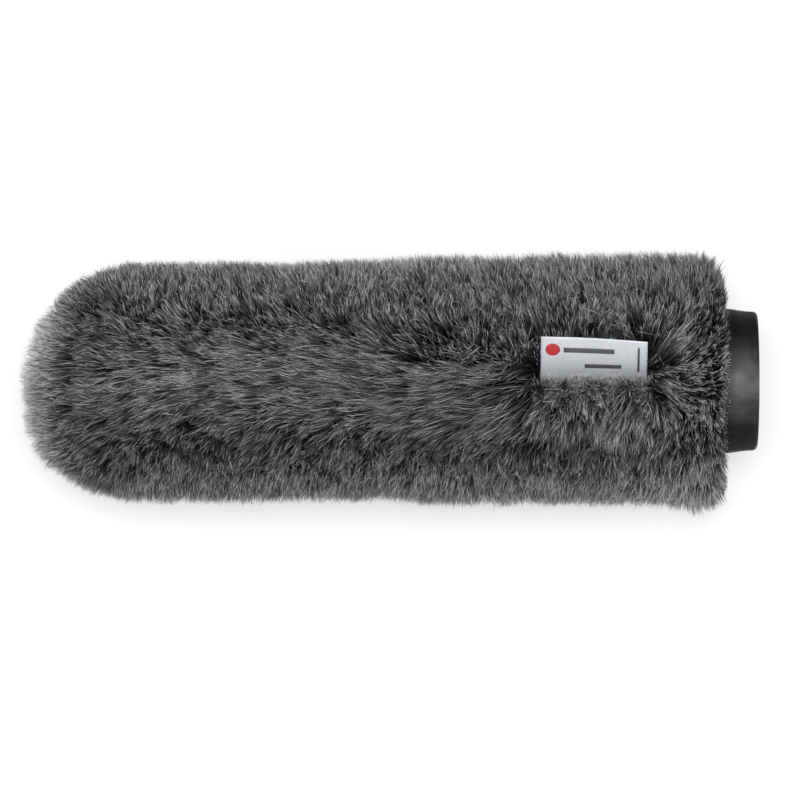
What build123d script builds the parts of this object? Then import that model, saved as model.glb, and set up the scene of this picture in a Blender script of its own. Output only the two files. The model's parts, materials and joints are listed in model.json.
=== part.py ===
from build123d import *
import os
from math import cos, radians, sin

os.makedirs("parts", exist_ok=True)

# Furry slip-on windscreen for a long interference-tube microphone. Lengths are in mm.
# X is the microphone's axis and points out of the boot, so the nose is at the -X end.
# +Z is up: the label and the lengthwise seam are on top. The origin is the centre of the
# microphone bore's mouth, in the boot's rear plane.

# ---------------------------------------------------------------- driving dimensions
overall_length = 294.0        # boot's rear plane to the tips of the nose fur

# Rubber boot
bore_radius = 9.5             # grips a 19 mm microphone
bore_grip_length = 30.0
boot_rim_radius = 27.8
boot_shoulder_radius = 29.0
boot_rim_round = 2.0
boot_wall = 2.5
rim_wall = 3.8
skirt_length = 14.0           # rubber that shows behind the fur
spigot_end_x = -34.0          # front end of the ring that carries the foam and the fur
web_rear_x = -9.0
web_front_x = -12.0
sleeve_radius = 12.0
sleeve_end_x = -45.0
relief_radius = 10.6
relief_length = 8.0

# Perforated tube that guides the microphone
tube_gap = 0.05
tube_wall = 1.45
tube_rear_x = -20.0
window_rows = 16
window_pitch = 12.0
window_length = 9.0
window_width = 4.6
windows_around = 10
first_window_x = -54.0

# Foam
foam_radius = 28.0
foam_gap = 0.1

# Knitted backing of the fur
backing_gap = 0.1
backing_thickness = 1.3
seam_angle = 50.0             # nose seam, measured at the nose's centre from the tip
seam_slit = 0.9
stitch_radius = 0.25
stitch_length = 4.0
seam_stitch_pitch = 5.0
nose_stitch_count = 36

# Hem round an elastic ring
hem_x = -18.0
elastic_radius = 1.2
hem_clearance = 0.4
hem_return = 5.5
hem_stitch_count = 40
hem_stitch_length = 2.5

# Fur pile
fur_front_radius = 47.6
fur_middle_radius = 49.4
fur_rear_radius = 50.5
fur_rear_round = 8.0
fur_rear_taper_x = -60.0      # the pile fills out behind here
fur_swell_x = -130.0          # and here, behind the slimmer front half
fur_slim_x = -150.0
fur_underside_z = -44.0       # the pile is pressed flat where the windscreen lies

# Folded label, sewn into the lengthwise seam
label_front_x = -87.1
label_rear_x = -45.0
label_height = 22.0
label_thickness = 0.6
label_lean = 47.0             # at rest, from upright towards +Y
label_swing = 40.0            # lifts this far towards upright
label_stitch_count = 8
needle_hole_gap = 0.05

# ---------------------------------------------------------------- worked out from them
nose_centre_x = fur_front_radius - overall_length
tube_inner = sleeve_radius + tube_gap
tube_outer = tube_inner + tube_wall
foam_bore = tube_outer + foam_gap
backing_inner = foam_radius + backing_gap
backing_outer = backing_inner + backing_thickness
stitch_row_radius = backing_outer + stitch_radius
pile_root = backing_outer
stitch_groove_radius = stitch_row_radius + stitch_radius + 0.2
stitch_groove_half = stitch_length / 2 + 0.4
hem_centre_radius = backing_outer + hem_clearance + elastic_radius
hem_inner = elastic_radius + hem_clearance
hem_outer = hem_inner + backing_thickness
hem_top_radius = hem_centre_radius + hem_outer
pile_hem_pocket = hem_top_radius + 2 * stitch_radius + 0.2
pile_hem_pocket_x = hem_x - hem_return - 0.5
fur_rear_x = -skirt_length
label_width = label_rear_x - label_front_x
label_middle_x = (label_front_x + label_rear_x) / 2
hinge_z = stitch_row_radius + 0.85
tail_top_z = hinge_z - 0.3
tail_bottom_z = backing_inner + 0.1


def on_nose(radius, angle):
    """Point of the lengthwise section, on a circle about the nose's centre."""
    return (nose_centre_x - radius * cos(radians(angle)), radius * sin(radians(angle)))


def nose_arc(radius, start, end):
    """Arc about the nose's centre. Angles are in degrees from the tip."""
    middle = (start + end) / 2
    ThreePointArc(on_nose(radius, start), on_nose(radius, middle), on_nose(radius, end))


def nose_zone(inner, outer, start, end):
    """Outline of a stretch of shell about the nose's centre."""
    nose_arc(inner, start, end)
    nose_arc(outer, start, end)
    Line(on_nose(inner, start), on_nose(outer, start))
    Line(on_nose(inner, end), on_nose(outer, end))


def round_x(x, radius, angle):
    """Point at a radius and an angle round the X axis. 90 degrees is the top."""
    return (x, radius * cos(radians(angle)), radius * sin(radians(angle)))


def leaning(angle, along, across):
    """Point (y, z) of the label's section: along its height, and across its thickness."""
    y = along * sin(radians(angle)) + across * cos(radians(angle))
    z = along * cos(radians(angle)) - across * sin(radians(angle))
    return (y, hinge_z + z)


# ---------------------------------------------------------------- boot
relief_front_x = -bore_grip_length - relief_length
with BuildPart() as boot:
    with BuildSketch(Plane.XY):
        with BuildLine():
            Polyline(
                (0, bore_radius),
                (0, sleeve_radius),
                (web_rear_x, sleeve_radius),
                (web_rear_x, boot_rim_radius - rim_wall),
                (0, boot_rim_radius - rim_wall),
                (0, boot_rim_radius - boot_rim_round),
            )
            JernArc((0, boot_rim_radius - boot_rim_round), (0, 1), boot_rim_round, 90)
            Spline(
                (-boot_rim_round, boot_rim_radius),
                (-skirt_length, boot_shoulder_radius),
                tangents=((-1, 0), (-1, 0)),
            )
            Polyline(
                (-skirt_length, boot_shoulder_radius),
                (-skirt_length, boot_rim_radius),
                (spigot_end_x, boot_rim_radius),
                (spigot_end_x, boot_rim_radius - boot_wall),
                (web_front_x, boot_rim_radius - boot_wall),
                (web_front_x, sleeve_radius),
                (sleeve_end_x, sleeve_radius),
                (sleeve_end_x, bore_radius),
                (relief_front_x, bore_radius),
                (relief_front_x, relief_radius),
                (-bore_grip_length, relief_radius),
                (-bore_grip_length, bore_radius),
                (0, bore_radius),
            )
        make_face()
    revolve(axis=Axis.X)
boot.part.label = "boot"
export_step(boot.part, "parts/boot.step")

# ---------------------------------------------------------------- perforated tube
tube_length = tube_rear_x - nose_centre_x
windows_middle_x = first_window_x - (window_rows - 1) * window_pitch / 2
with BuildPart() as mesh_tube:
    with BuildSketch(Plane.YZ.offset(nose_centre_x)):
        Circle(tube_outer)
        Circle(tube_inner, mode=Mode.SUBTRACT)
    extrude(amount=tube_length)
    for step in range(windows_around // 2):
        outward = round_x(0, 1, 360 / windows_around * step)
        with BuildSketch(Plane(origin=(windows_middle_x, 0, 0), x_dir=(1, 0, 0), z_dir=outward)):
            with GridLocations(window_pitch, 1, window_rows, 1):
                RectangleRounded(window_length, window_width, 1.2)
        extrude(amount=tube_outer + 1, both=True, mode=Mode.SUBTRACT)
mesh_tube.part.label = "mesh_tube"
export_step(mesh_tube.part, "parts/mesh_tube.step")

# ---------------------------------------------------------------- tube's front cap
cap_thickness = 1.5
plug_length = 5.0
plug_wall = 1.4
vent_radius = 1.6
vent_circle_radius = 6.4
with BuildPart() as front_cap:
    with BuildSketch(Plane.YZ.offset(nose_centre_x - cap_thickness)):
        Circle(tube_outer)
    extrude(amount=cap_thickness)
    with BuildSketch(Plane.YZ.offset(nose_centre_x)):
        Circle(tube_inner - tube_gap)
        Circle(tube_inner - tube_gap - plug_wall, mode=Mode.SUBTRACT)
    extrude(amount=plug_length)
    with BuildSketch(Plane.YZ.offset(nose_centre_x - cap_thickness)):
        Circle(vent_radius)
        with PolarLocations(vent_circle_radius, 6):
            Circle(vent_radius)
    extrude(amount=cap_thickness, mode=Mode.SUBTRACT)
front_cap.part.label = "front_cap"
export_step(front_cap.part, "parts/front_cap.step")

# ---------------------------------------------------------------- tube clamp
clamp_rear_x = -23.0
clamp_width = 8.0
clamp_thickness = 0.8
ear_height = 2.4
ear_width = 4.0
with BuildPart() as tube_clamp:
    with BuildSketch(Plane.YZ.offset(clamp_rear_x - clamp_width)):
        Circle(foam_bore + clamp_thickness)
        with Locations((0, foam_bore + ear_height / 2)):
            Rectangle(ear_width, ear_height)
        with Locations((0, foam_bore + ear_height / 2 + 0.3)):
            Rectangle(ear_width - 2 * clamp_thickness, ear_height - 2 * clamp_thickness, mode=Mode.SUBTRACT)
        Circle(foam_bore - 0.05, mode=Mode.SUBTRACT)
    extrude(amount=clamp_width)
tube_clamp.part.label = "tube_clamp"
export_step(tube_clamp.part, "parts/tube_clamp.step")

# ---------------------------------------------------------------- foam
step_radius = boot_rim_radius - boot_wall - foam_gap
step_rear_x = web_front_x - 0.4
clamp_pocket_radius = foam_bore + ear_height + 0.3
sleeve_rear_x = spigot_end_x - 0.2
with BuildPart() as foam_sleeve:
    with BuildSketch(Plane.XY):
        with BuildLine():
            Polyline(
                (nose_centre_x, foam_bore),
                (nose_centre_x, foam_radius),
                (sleeve_rear_x, foam_radius),
                (sleeve_rear_x, step_radius),
                (step_rear_x, step_radius),
                (step_rear_x, clamp_pocket_radius),
                (sleeve_rear_x, clamp_pocket_radius),
                (sleeve_rear_x, foam_bore),
                (nose_centre_x, foam_bore),
            )
        make_face()
    revolve(axis=Axis.X)
foam_sleeve.part.label = "foam_sleeve"
export_step(foam_sleeve.part, "parts/foam_sleeve.step")

with BuildPart() as foam_nose:
    with BuildSketch(Plane.XY):
        with BuildLine():
            nose_arc(foam_radius, 0, 90)
            Line(on_nose(foam_radius, 90), (nose_centre_x, 0))
            Line((nose_centre_x, 0), on_nose(foam_radius, 0))
        make_face()
    revolve(axis=Axis.X)
    with BuildSketch(Plane.YZ.offset(nose_centre_x)):
        Circle(tube_outer + foam_gap)
    extrude(amount=-cap_thickness - foam_gap, mode=Mode.SUBTRACT)
foam_nose.part.label = "foam_nose"
export_step(foam_nose.part, "parts/foam_nose.step")

# ---------------------------------------------------------------- knitted backing
with BuildPart() as backing_body:
    with BuildSketch(Plane.XY):
        with BuildLine():
            nose_arc(backing_inner, seam_angle, 90)
            Line((nose_centre_x, backing_inner), (hem_x, backing_inner))
            ThreePointArc(
                (hem_x, hem_centre_radius - hem_outer),
                (hem_x + hem_outer, hem_centre_radius),
                (hem_x, hem_top_radius),
            )
            Polyline(
                (hem_x, hem_top_radius),
                (hem_x - hem_return, hem_top_radius),
                (hem_x - hem_return, hem_centre_radius + hem_inner),
                (hem_x, hem_centre_radius + hem_inner),
            )
            ThreePointArc(
                (hem_x, hem_centre_radius + hem_inner),
                (hem_x + hem_inner, hem_centre_radius),
                (hem_x, hem_centre_radius - hem_inner),
            )
            Line((hem_x, backing_outer), (nose_centre_x, backing_outer))
            nose_arc(backing_outer, seam_angle, 90)
            Line(on_nose(backing_inner, seam_angle), on_nose(backing_outer, seam_angle))
        make_face()
    revolve(axis=Axis.X)
    # the edges of the wrapped panel meet on top, with a slit between them
    with Locations((-overall_length / 2, 0, foam_radius)):
        Box(overall_length, seam_slit, 2 * foam_radius, mode=Mode.SUBTRACT)
backing_body.part.label = "backing_body"
export_step(backing_body.part, "parts/backing_body.step")

with BuildPart() as backing_nose:
    with BuildSketch(Plane.XY):
        with BuildLine():
            nose_zone(backing_inner, backing_outer, 0, seam_angle)
        make_face()
    revolve(axis=Axis.X)
backing_nose.part.label = "backing_nose"
export_step(backing_nose.part, "parts/backing_nose.step")

with BuildPart() as hem_elastic:
    with BuildSketch(Plane.XY):
        with Locations((hem_x, hem_centre_radius)):
            Circle(elastic_radius)
    revolve(axis=Axis.X)
hem_elastic.part.label = "hem_elastic"
export_step(hem_elastic.part, "parts/hem_elastic.step")

# ---------------------------------------------------------------- stitching
# Stitches that cross the lengthwise seam, except where the label is sewn in.
seam_rear_x = pile_hem_pocket_x - 4.0
row_length = int((seam_rear_x - nose_centre_x) // seam_stitch_pitch)
row_x = [seam_rear_x - seam_stitch_pitch * step for step in range(row_length + 1)]
clear_of_label = 2.0
straight_places = [
    (x, 0, stitch_row_radius)
    for x in row_x
    if not label_front_x - clear_of_label < x < label_rear_x + clear_of_label
]
nose_places = []
for angle in (80, 70, 60):
    x, z = on_nose(stitch_row_radius, angle)
    nose_places.append((x, 0, z))
with BuildPart() as side_seam_stitches:
    with Locations(*straight_places, *nose_places):
        Cylinder(stitch_radius, stitch_length, rotation=(90, 0, 0))
side_seam_stitches.part.label = "side_seam_stitches"
export_step(side_seam_stitches.part, "parts/side_seam_stitches.step")

with BuildPart() as nose_seam_stitches:
    row_x_at_nose, row_radius = on_nose(stitch_row_radius, seam_angle)
    for step in range(nose_stitch_count):
        around = 360 / nose_stitch_count * (step + 0.5)
        place = round_x(row_x_at_nose, row_radius, around)
        slope = round_x(sin(radians(seam_angle)), cos(radians(seam_angle)), around)
        with Locations(Plane(origin=place, z_dir=slope)):
            Cylinder(stitch_radius, stitch_length)
nose_seam_stitches.part.label = "nose_seam_stitches"
export_step(nose_seam_stitches.part, "parts/nose_seam_stitches.step")

with BuildPart() as hem_stitches:
    hem_stitch_radius = hem_top_radius + stitch_radius + 0.05
    for step in range(hem_stitch_count):
        around = 360 / hem_stitch_count * (step + 0.5)
        place = round_x(hem_x - hem_return + 1.5, hem_stitch_radius, around)
        with Locations(Plane(origin=place, z_dir=round_x(0, 1, around + 90))):
            Cylinder(stitch_radius, hem_stitch_length)
hem_stitches.part.label = "hem_stitches"
export_step(hem_stitches.part, "parts/hem_stitches.step")

# ---------------------------------------------------------------- label
stitch_spacing = label_width / label_stitch_count
with BuildPart() as label_tail:
    with Locations((label_middle_x, 0, (tail_top_z + tail_bottom_z) / 2)):
        Box(label_width, label_thickness, tail_top_z - tail_bottom_z)
    with Locations((label_middle_x, 0, stitch_row_radius)):
        with GridLocations(stitch_spacing, 1, label_stitch_count, 1):
            Cylinder(stitch_radius + needle_hole_gap, 1, rotation=(90, 0, 0), mode=Mode.SUBTRACT)
label_tail.part.label = "label_tail"
export_step(label_tail.part, "parts/label_tail.step")

with BuildPart() as label_stitches:
    with Locations((label_middle_x, 0, stitch_row_radius)):
        with GridLocations(stitch_spacing, 1, label_stitch_count, 1):
            Cylinder(stitch_radius, stitch_length, rotation=(90, 0, 0))
label_stitches.part.label = "label_stitches"
export_step(label_stitches.part, "parts/label_stitches.step")

flap_root = 0.3
half_thickness = label_thickness / 2
with BuildPart() as label_flap:
    with BuildSketch(Plane.YZ.offset(label_front_x)):
        with BuildLine():
            Polyline(
                leaning(label_lean, flap_root, -half_thickness),
                leaning(label_lean, label_height, -half_thickness),
                leaning(label_lean, label_height, half_thickness),
                leaning(label_lean, flap_root, half_thickness),
                close=True,
            )
        make_face()
    extrude(amount=label_width)
label_flap.part.label = "label_flap"
export_step(label_flap.part, "parts/label_flap.step")

# ---------------------------------------------------------------- fur pile
pocket_clearance = 0.8
pocket_end_gap = 1.3
pocket_reach = 32.0
lifted_lean = label_lean - label_swing
underside_depth = 30.0
groove_turn = 4.7             # degrees to each side of the nose seam
with BuildPart() as fur_pile_body:
    with BuildSketch(Plane.XY):
        with BuildLine():
            nose_arc(pile_root, seam_angle, 90)
            Polyline(
                (nose_centre_x, pile_root),
                (pile_hem_pocket_x, pile_root),
                (pile_hem_pocket_x, pile_hem_pocket),
                (fur_rear_x, pile_hem_pocket),
                (fur_rear_x, fur_rear_radius - fur_rear_round),
            )
            JernArc((fur_rear_x, fur_rear_radius - fur_rear_round), (0, 1), fur_rear_round, 90)
            Polyline(
                (fur_rear_x - fur_rear_round, fur_rear_radius),
                (fur_rear_taper_x, fur_middle_radius),
                (fur_swell_x, fur_middle_radius),
                (fur_slim_x, fur_front_radius),
                (nose_centre_x, fur_front_radius),
            )
            nose_arc(fur_front_radius, seam_angle, 90)
            Line(on_nose(pile_root, seam_angle), on_nose(fur_front_radius, seam_angle))
        make_face()
    revolve(axis=Axis.X)
    # room for the stitches of the nose seam
    with BuildSketch(Plane.XY):
        with BuildLine():
            nose_zone(backing_inner, stitch_groove_radius, seam_angle, seam_angle + groove_turn)
        make_face()
    revolve(axis=Axis.X, mode=Mode.SUBTRACT)
    # room for the stitches of the lengthwise seam
    with Locations((nose_centre_x / 2, 0, (backing_inner + stitch_groove_radius) / 2)):
        Box(
            -nose_centre_x,
            2 * stitch_groove_half,
            stitch_groove_radius - backing_inner,
            mode=Mode.SUBTRACT,
        )
    with BuildSketch(Plane.XZ):
        with BuildLine():
            nose_zone(backing_inner, stitch_groove_radius + 0.15, seam_angle - 2, 91)
        make_face()
    extrude(amount=stitch_groove_half, both=True, mode=Mode.SUBTRACT)
    # the gap in the pile that the label swings in
    with BuildSketch(Plane.YZ.offset(label_front_x - pocket_end_gap)):
        with BuildLine():
            Polyline(
                leaning(label_lean, 0, pocket_clearance),
                leaning(label_lean, pocket_reach, pocket_clearance),
                leaning(lifted_lean, pocket_reach, -pocket_clearance),
                leaning(lifted_lean, 0, -pocket_clearance),
                (0, hinge_z - pocket_clearance),
                close=True,
            )
        make_face()
    extrude(amount=label_width + 2 * pocket_end_gap, mode=Mode.SUBTRACT)
    with Locations((-overall_length / 2, 0, fur_underside_z - underside_depth / 2)):
        Box(overall_length, 4 * fur_rear_radius, underside_depth, mode=Mode.SUBTRACT)
fur_pile_body.part.label = "fur_pile_body"
export_step(fur_pile_body.part, "parts/fur_pile_body.step")

with BuildPart() as fur_pile_nose:
    with BuildSketch(Plane.XY):
        with BuildLine():
            nose_zone(pile_root, fur_front_radius, 0, seam_angle)
        make_face()
    revolve(axis=Axis.X)
    with BuildSketch(Plane.XY):
        with BuildLine():
            nose_zone(backing_inner, stitch_groove_radius, seam_angle - groove_turn, seam_angle)
        make_face()
    revolve(axis=Axis.X, mode=Mode.SUBTRACT)
fur_pile_nose.part.label = "fur_pile_nose"
export_step(fur_pile_nose.part, "parts/fur_pile_nose.step")
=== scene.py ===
import itertools
import json
from math import cos, pi, radians, sin

import bpy
import numpy as np
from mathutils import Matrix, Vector


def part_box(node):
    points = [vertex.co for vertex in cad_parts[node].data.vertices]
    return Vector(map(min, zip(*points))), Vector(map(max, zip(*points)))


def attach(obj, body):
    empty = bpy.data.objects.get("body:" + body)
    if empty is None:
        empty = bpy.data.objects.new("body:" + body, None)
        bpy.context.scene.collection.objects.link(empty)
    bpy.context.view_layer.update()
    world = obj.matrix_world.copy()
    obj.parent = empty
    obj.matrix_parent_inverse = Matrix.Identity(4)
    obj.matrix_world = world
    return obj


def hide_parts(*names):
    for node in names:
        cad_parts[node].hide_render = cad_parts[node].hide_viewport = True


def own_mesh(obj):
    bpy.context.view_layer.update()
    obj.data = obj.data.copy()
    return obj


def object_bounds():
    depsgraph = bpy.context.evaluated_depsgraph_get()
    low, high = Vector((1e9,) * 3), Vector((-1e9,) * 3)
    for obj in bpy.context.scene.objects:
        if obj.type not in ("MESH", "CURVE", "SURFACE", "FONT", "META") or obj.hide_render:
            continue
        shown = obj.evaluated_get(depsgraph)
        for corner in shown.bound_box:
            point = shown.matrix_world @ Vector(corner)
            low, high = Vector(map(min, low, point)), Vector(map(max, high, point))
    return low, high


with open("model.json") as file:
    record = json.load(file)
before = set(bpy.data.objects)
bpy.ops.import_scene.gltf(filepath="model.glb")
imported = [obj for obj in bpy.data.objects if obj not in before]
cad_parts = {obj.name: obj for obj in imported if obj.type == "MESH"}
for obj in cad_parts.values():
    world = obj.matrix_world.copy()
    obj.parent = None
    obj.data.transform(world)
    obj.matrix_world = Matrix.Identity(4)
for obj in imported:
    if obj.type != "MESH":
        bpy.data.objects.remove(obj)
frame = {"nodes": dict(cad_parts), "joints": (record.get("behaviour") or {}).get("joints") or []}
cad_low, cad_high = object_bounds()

# Furry windscreen, in metres. X runs along the microphone with the nose at -X, +Z is up.
# Angles round the X axis start at +Y, so 90 degrees is the top.
MM = 0.001
BODY = "windscreen"
LABEL = "label"

# ------------ sizes from the frame
pile_low, pile_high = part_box("fur_pile_body")
nose_tip_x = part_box("fur_pile_nose")[0].x
nose_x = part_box("foam_sleeve")[0].x  # centre of the domed nose
rear_x = pile_high.x
floor_z = pile_low.z
front_radius = nose_x - nose_tip_x
rear_radius = pile_high.y
middle_radius = rear_radius - 1.1 * MM
foam_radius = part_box("foam_nose")[1].z
root_radius = foam_radius + 1.4 * MM  # outside of the knitted backing
hem_low_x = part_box("hem_elastic")[0].x
hem_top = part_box("backing_body")[1].y
hem_rear_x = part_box("backing_body")[1].x
seam_turn = radians(50)  # nose seam, from the tip
label_low, label_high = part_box("label_flap")
label_middle_x = (label_low.x + label_high.x) / 2
label_width = label_high.x - label_low.x
label_height = 22 * MM
hinge_z = frame["joints"][0]["pos_m"][2]
lowest_lean = radians(52)  # a little past the label's lean at rest
highest_lean = radians(-2)  # a little past its lean at the joint's limit

# ------------ fur settings
BODY_STRANDS = 132000
DOME_STRANDS = 25000
EDGE_STRANDS = 6000  # short hair along the rear edge
FRINGE_STRANDS = 3000  # loose hair in front of the label
PIECE_STRANDS = 9000  # strands to a mesh piece, at most
GUARD_PART = 0.08  # part of the strands that are long, thin and pale
STRAY_PART = 0.16  # part of the strands that lie untidily
STEPS = np.array([0.0, 0.35, 0.62, 0.84, 1.0])  # sections along a strand, from root to tip
TAPER = np.array([1.0, 0.98, 0.86, 0.6])  # thickness at each section before the tip
STRAND_RADIUS = 0.157 * MM
ROOT_LIFT = 0.3 * MM  # roots stand this far off the backing
FINE_CLUMP = 2.4 * MM
COARSE_CLUMP = 6.5 * MM
ARC_RADIUS = 42 * MM  # arcs round the axis are measured at this radius

# Where the combing changes along X, as pairs of start and end.
STREAM_ENDS_LABEL_SIDE = (-146 * MM, -112 * MM)
STREAM_ENDS = (-92 * MM, -78 * MM)
HAIR_STANDS_UP = (-60 * MM, -20 * MM)
REAR_CALMS = (-34 * MM, -20 * MM)
REAR_LEANS_BACK = (-30 * MM, -16 * MM)
WHORL_X = -112 * MM
WHORL_ARC = 10 * MM  # from the top, on the label's side


# ------------ repeatable noise
def scatter(cells, seed):
    """Numbers from 0 to 1 that look random, one for each row of whole-number cells."""
    whole = cells.astype(np.int64).astype(np.uint64)
    mixed = whole[..., 0] * np.uint64(0x9E3779B97F4A7C15)
    mixed ^= whole[..., 1] * np.uint64(0xC2B2AE3D27D4EB4F)
    mixed ^= whole[..., 2] * np.uint64(0x165667B19E3779F9)
    mixed ^= np.uint64(seed * 0x27D4EB2F)
    mixed ^= mixed >> np.uint64(29)
    mixed *= np.uint64(0xBF58476D1CE4E5B9)
    mixed ^= mixed >> np.uint64(32)
    return (mixed >> np.uint64(11)).astype(float) / 2.0 ** 53


def noise(points, size, seed):
    """Smooth noise from -1 to 1 with lumps of that size. Each seed gives its own pattern."""
    scaled = points / size
    cell = np.floor(scaled)
    part = scaled - cell
    part = part * part * (3 - 2 * part)
    total = np.zeros(len(points))
    for corner in itertools.product((0, 1), repeat=3):
        corner = np.array(corner)
        share = np.prod(np.where(corner == 1, part, 1 - part), axis=1)
        total += share * scatter(cell + corner, seed)
    return 2 * total - 1


def nearest_centre(points, size, seed):
    """The nearest scattered centre to each point, and its cell."""
    cell = np.floor(points / size)
    best = np.full(len(points), np.inf)
    centre = np.zeros_like(points)
    key = np.zeros_like(points)
    for offset in itertools.product((-1, 0, 1), repeat=3):
        here = cell + np.array(offset)
        jitter = np.stack([scatter(here, seed + axis) for axis in range(3)], axis=1)
        candidate = (here + jitter) * size
        distance = ((candidate - points) ** 2).sum(axis=1)
        closer = distance < best
        best[closer] = distance[closer]
        centre[closer] = candidate[closer]
        key[closer] = here[closer]
    return centre, key


def ramp(value, start, end):
    """0 before start, 1 after end, smooth between."""
    part = np.clip((value - start) / (end - start), 0, 1)
    return part * part * (3 - 2 * part)


def hill(value, centre, width):
    """1 at the centre, falling smoothly to 0 on both sides."""
    return np.exp(-(((value - centre) / width) ** 2))


# ------------ the surface that the fur grows on
def place_of(points):
    """Where each point is on the fur: x, angle from the tip, and angle round the axis."""
    back = points[:, 0] - nose_x
    radius = np.hypot(points[:, 1], points[:, 2])
    turn = np.where(back < 0, np.arctan2(radius, -back), pi / 2)
    return np.maximum(points[:, 0], nose_x), turn, np.arctan2(points[:, 2], points[:, 1])


def from_top_of(around):
    """Angle from the top, above 0 on the +Y side, which the label leans to."""
    return (pi / 2 - around + pi) % (2 * pi) - pi


def directions(turn, around):
    """Unit vectors at a place: out of the surface, towards the nose, and round the axis."""
    out = np.stack([-np.cos(turn), np.sin(turn) * np.cos(around), np.sin(turn) * np.sin(around)], 1)
    ahead = np.stack([-np.sin(turn), -np.cos(turn) * np.cos(around), -np.cos(turn) * np.sin(around)], 1)
    aside = np.stack([np.zeros_like(around), -np.sin(around), np.cos(around)], 1)
    return out, ahead, aside


def on_axis(x):
    """Points on the X axis."""
    return np.stack([x, np.zeros_like(x), np.zeros_like(x)], 1)


def on_pile(x, turn, around):
    """Points near the hair tips, where the noise is taken."""
    return on_axis(x) + directions(turn, around)[0] * front_radius


def outer_radius(x, turn, around):
    """Radius of the hair tips: fuller to the rear, rounded at the rear edge, flat underneath."""
    bends_x = [-150 * MM, -130 * MM, -60 * MM, rear_x - 10 * MM]
    radius = np.interp(x, bends_x, [front_radius, middle_radius, middle_radius, rear_radius])
    rounding = 12 * MM
    past = np.clip((x - rear_x + rounding) / rounding, 0, 1)
    radius = radius - rounding * (1 - np.sqrt(1 - past * past))
    loose_tips = 1.3 * MM
    to_one_side = (ramp(x, -190 * MM, -155 * MM) - 0.55) * MM * np.cos(around) * np.sin(turn)
    rear_corner = 2.6 * MM * ramp(x, -38 * MM, -24 * MM) * ramp(-np.cos(around), 0.5, 0.9)
    shoulder = (0.9 - 2.2 * np.cos(around)) * MM * hill(turn, radians(36), radians(17))
    blunt_tip = 1.2 * MM * hill(turn, 0, radians(16))
    radius = radius + loose_tips + to_one_side + rear_corner + shoulder - blunt_tip
    down = np.clip(-np.sin(turn) * np.sin(around), 0.05, 1)
    return np.minimum(radius, -floor_z / down)


def label_ceiling(x, around):
    """Radius at which the hair under the label would meet it."""
    far_off = 1.0
    under = (x > label_low.x - 1 * MM) & (x < label_high.x + 1 * MM)
    under &= (around > radians(66)) & (around < radians(90))
    reach = hinge_z * sin(lowest_lean) / np.maximum(-np.cos(around + lowest_lean), 0.2)
    return np.where(under, reach - 0.8 * MM, far_off)


# ------------ combing
def flat_stream(x, turn, around):
    """1 in the flat hair that streams along the seam to the nose, 0 where the hair stands up."""
    from_top = from_top_of(around)
    stream = np.exp(-(np.abs(from_top / radians(29)) ** 2.6))
    label_side = ramp(from_top * ARC_RADIUS, -4 * MM, 9 * MM)
    stream *= 1 - ramp(x, *STREAM_ENDS_LABEL_SIDE) * label_side
    stream *= 1 - ramp(x, *STREAM_ENDS)
    at_nose_seam = ramp(-turn, -radians(78), -radians(52)) * (turn > seam_turn)
    return stream * (1 - 0.75 * at_nose_seam)


def comb(x, turn, around):
    """Lean of the hair at a place, in radians: towards the nose, and round the axis."""
    points = on_pile(x, turn, around)
    from_top = from_top_of(around)
    arc = from_top * ARC_RADIUS
    whorl = hill(x, WHORL_X, 22 * MM) * hill(arc, WHORL_ARC, 9 * MM)

    # flat along the stream, upright beside it, and leaning back over the rear edge
    ahead = (radians(5) + radians(40) * flat_stream(x, turn, around)) * np.sin(turn)
    ahead *= 1 - ramp(x, *HAIR_STANDS_UP)
    ahead -= radians(7) * ramp(x, *REAR_LEANS_BACK) * hill(from_top, 0, radians(55))

    # outwards from the label, and from the seam on both sides of it
    past_label = x - np.clip(x, label_low.x + 2 * MM, label_high.x - 4 * MM)
    arc_off = arc - 3 * MM * ramp(x, label_high.x - 6 * MM, label_high.x + 2 * MM)
    distance = np.hypot(past_label, arc_off) + 1e-6
    push = radians(33) * hill(distance, 0, 24 * MM) * (1 - 0.6 * whorl)
    push *= ramp(distance, 1 * MM, 6 * MM) * (1 - 0.55 * ramp(x, *REAR_CALMS))
    falling = ramp(-arc, 1 * MM, 10 * MM) * (past_label > 0)
    ahead -= push * past_label / distance * (1 - 0.8 * falling)
    aside = -push * arc_off / distance

    # untidy at the label's two ends, a slow drift and a finer one everywhere, and tangled in the whorl
    ends = radians(34) * hill(np.hypot(np.abs(past_label) - 4 * MM, arc_off), 0, 6 * MM)
    ends *= past_label != 0
    ahead += ends * noise(points, 3 * MM, 92)
    aside += ends * noise(points, 3 * MM, 93)
    ahead += radians(7) * noise(points, 24 * MM, 1) + radians(11) * noise(points, 7 * MM, 2)
    aside += radians(8) * noise(points, 24 * MM, 3) + radians(11) * noise(points, 7 * MM, 4)
    ahead += radians(50) * whorl * (noise(points, 6 * MM, 5) - 0.2)
    aside += radians(50) * whorl * noise(points, 6 * MM, 6)
    return ahead, aside


def fullness(x, turn, around):
    """Share of the full hair height: uneven tufts, and a furrow over the nose seam."""
    points = on_pile(x, turn, around)
    furrow = hill(turn, radians(60), radians(6)) * hill(from_top_of(around), 0, radians(20))
    tufts = 0.035 * noise(points, 12 * MM, 8) + 0.06 * noise(points, 4.5 * MM, 9)
    return (1 - 0.7 * furrow) * (1 + tufts)


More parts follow.
